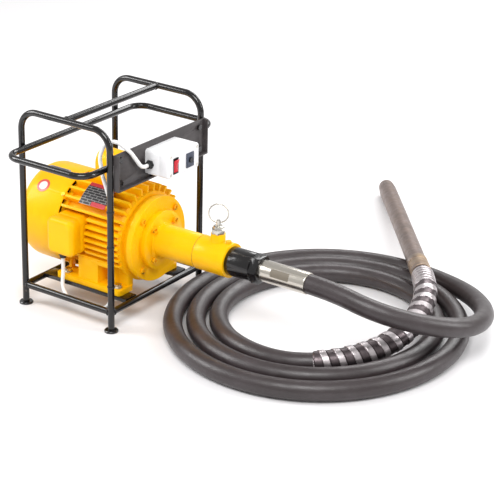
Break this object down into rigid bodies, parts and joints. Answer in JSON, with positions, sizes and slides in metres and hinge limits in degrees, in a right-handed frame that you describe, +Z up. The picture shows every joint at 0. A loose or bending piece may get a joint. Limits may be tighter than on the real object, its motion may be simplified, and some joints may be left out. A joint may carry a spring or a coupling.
{
  "type": "concrete vibrator",
  "caption": "Electric concrete vibrator: a motor in a round-bar carrying cage drives a steel poker through a flexible hose that lies in loose turns.",
  "frame": {"origin": "on the floor, at the middle of the plan of everything but the hose, its core and its bend guard", "axes": "+X along the motor's shaft towards the hose, +Y across the motor towards the side where the poker lies, +Z up"},
  "size_m": [0.9011, 1.0129, 0.4013],
  "materials": {
    "frame_black": "gloss black enamel",
    "plate_black": "satin black paint",
    "motor_yellow": "gloss yellow enamel over castings and pressings",
    "lamination_steel": "bare laminations",
    "copper": "enamelled copper wire",
    "machined_steel": "ground steel",
    "plated_steel": "bright plated",
    "painted_screws": "screws painted over with the motor",
    "socket_black": "gloss black",
    "hose_rubber": "dark warm grey rubber",
    "guard_steel": "dark spiral spring rings",
    "poker_steel": "oil darkened steel",
    "switch_white": "white moulded plastic",
    "lead_white": "white sheathed flexible lead",
    "black_plastic": "black plastic",
    "rocker_red": "red plastic",
    "breaker_blue": "dark blue grey plastic",
    "button_black": "black plastic",
    "plate_metal": "plain plate with no lettering"
  },
  "bodies": {
    "machine": {"hoop_near": "frame_black", "hoop_far": "frame_black", "lift_handle": "frame_black", "guard_rail": "frame_black", "base_rails": "frame_black", "feet": "frame_black", "motor_bearers": "frame_black", "plate_lugs": "frame_black", "switch_plate": "plate_black", "stator_frame": "motor_yellow", "front_end_shield": "motor_yellow", "rear_end_shield": "motor_yellow", "fan_cowl": "motor_yellow", "terminal_box": "motor_yellow", "terminal_cover": "motor_yellow", "capacitor_cover": "motor_yellow", "adaptor_tube": "motor_yellow", "coupling_housing": "motor_yellow", "stator_core": "lamination_steel", "stator_windings": "copper", "motor_bearings": "machined_steel", "spindle_bearings": "machined_steel", "poker_bearings": "machined_steel", "flexible_core": "machined_steel", "lock_spring": "machined_steel", "foot_bolts": "plated_steel", "plate_bolts": "plated_steel", "lock_nut": "plated_steel", "lid_screws": "plated_steel", "ferrule": "plated_steel", "flange_screws": "painted_screws", "cowl_screws": "painted_screws", "grub_screw": "painted_screws", "hose_socket": "socket_black", "hose": "hose_rubber", "bend_guard": "guard_steel", "poker_tube": "poker_steel", "poker_tip": "poker_steel", "poker_adapter": "poker_steel", "switch_base": "switch_white", "switch_lid": "switch_white", "motor_lead": "lead_white", "cable_glands": "black_plastic", "lead_ties": "black_plastic", "switch_body": "black_plastic", "terminal_board": "black_plastic", "capacitor": "black_plastic", "breaker": "breaker_blue", "nameplate": "plate_metal"},
    "rotor": {"motor_shaft": "machined_steel", "rotor_core": "lamination_steel", "cooling_fan": "black_plastic", "drive_coupling": "machined_steel", "drive_spindle": "machined_steel"},
    "eccentric": {"eccentric_weight": "machined_steel"},
    "lock_pin": {"lock_pin": "plated_steel"},
    "pull_ring": {"pull_ring": "plated_steel"},
    "rocker": {"rocker": "rocker_red"},
    "reset_button": {"reset_button": "button_black"}
  },
  "joints": [
    {"name": "rotor_spin", "type": "hinge", "parent": "machine", "child": "rotor", "pos_m": [-0.1808, -0.2971, 0.14295], "axis": [1, 0, 0], "continuous": true},
    {"name": "eccentric_spin", "type": "hinge", "parent": "machine", "child": "eccentric", "pos_m": [0.3462, -0.0081, 0.08], "axis": [-0.5986, 0.7955, -0.0944], "continuous": true},
    {"name": "lock_pin_pull", "type": "slide", "parent": "machine", "child": "lock_pin", "axis": [0, 0, 1], "range_m": [0, 0.006], "stiffness_N_per_m": 1500, "springref_m": -0.004, "deforming": ["lock_spring"]},
    {"name": "pull_ring_swing", "type": "hinge", "parent": "lock_pin", "child": "pull_ring", "pos_m": [0.0672, -0.2971, 0.2115], "axis": [0.866, 0.5, 0], "range_deg": [-90, 90]},
    {"name": "rocker_tilt", "type": "hinge", "parent": "machine", "child": "rocker", "pos_m": [-0.01305, -0.3281, 0.315], "axis": [0, 1, 0], "range_deg": [-16, 0]},
    {"name": "reset_press", "type": "slide", "parent": "machine", "child": "reset_button", "axis": [-1, 0, 0], "range_m": [0, 0.003], "stiffness_N_per_m": 400}
  ],
  "couplings": [
    {"joint": "eccentric_spin", "follows": "rotor_spin", "ratio": 1}
  ]
}
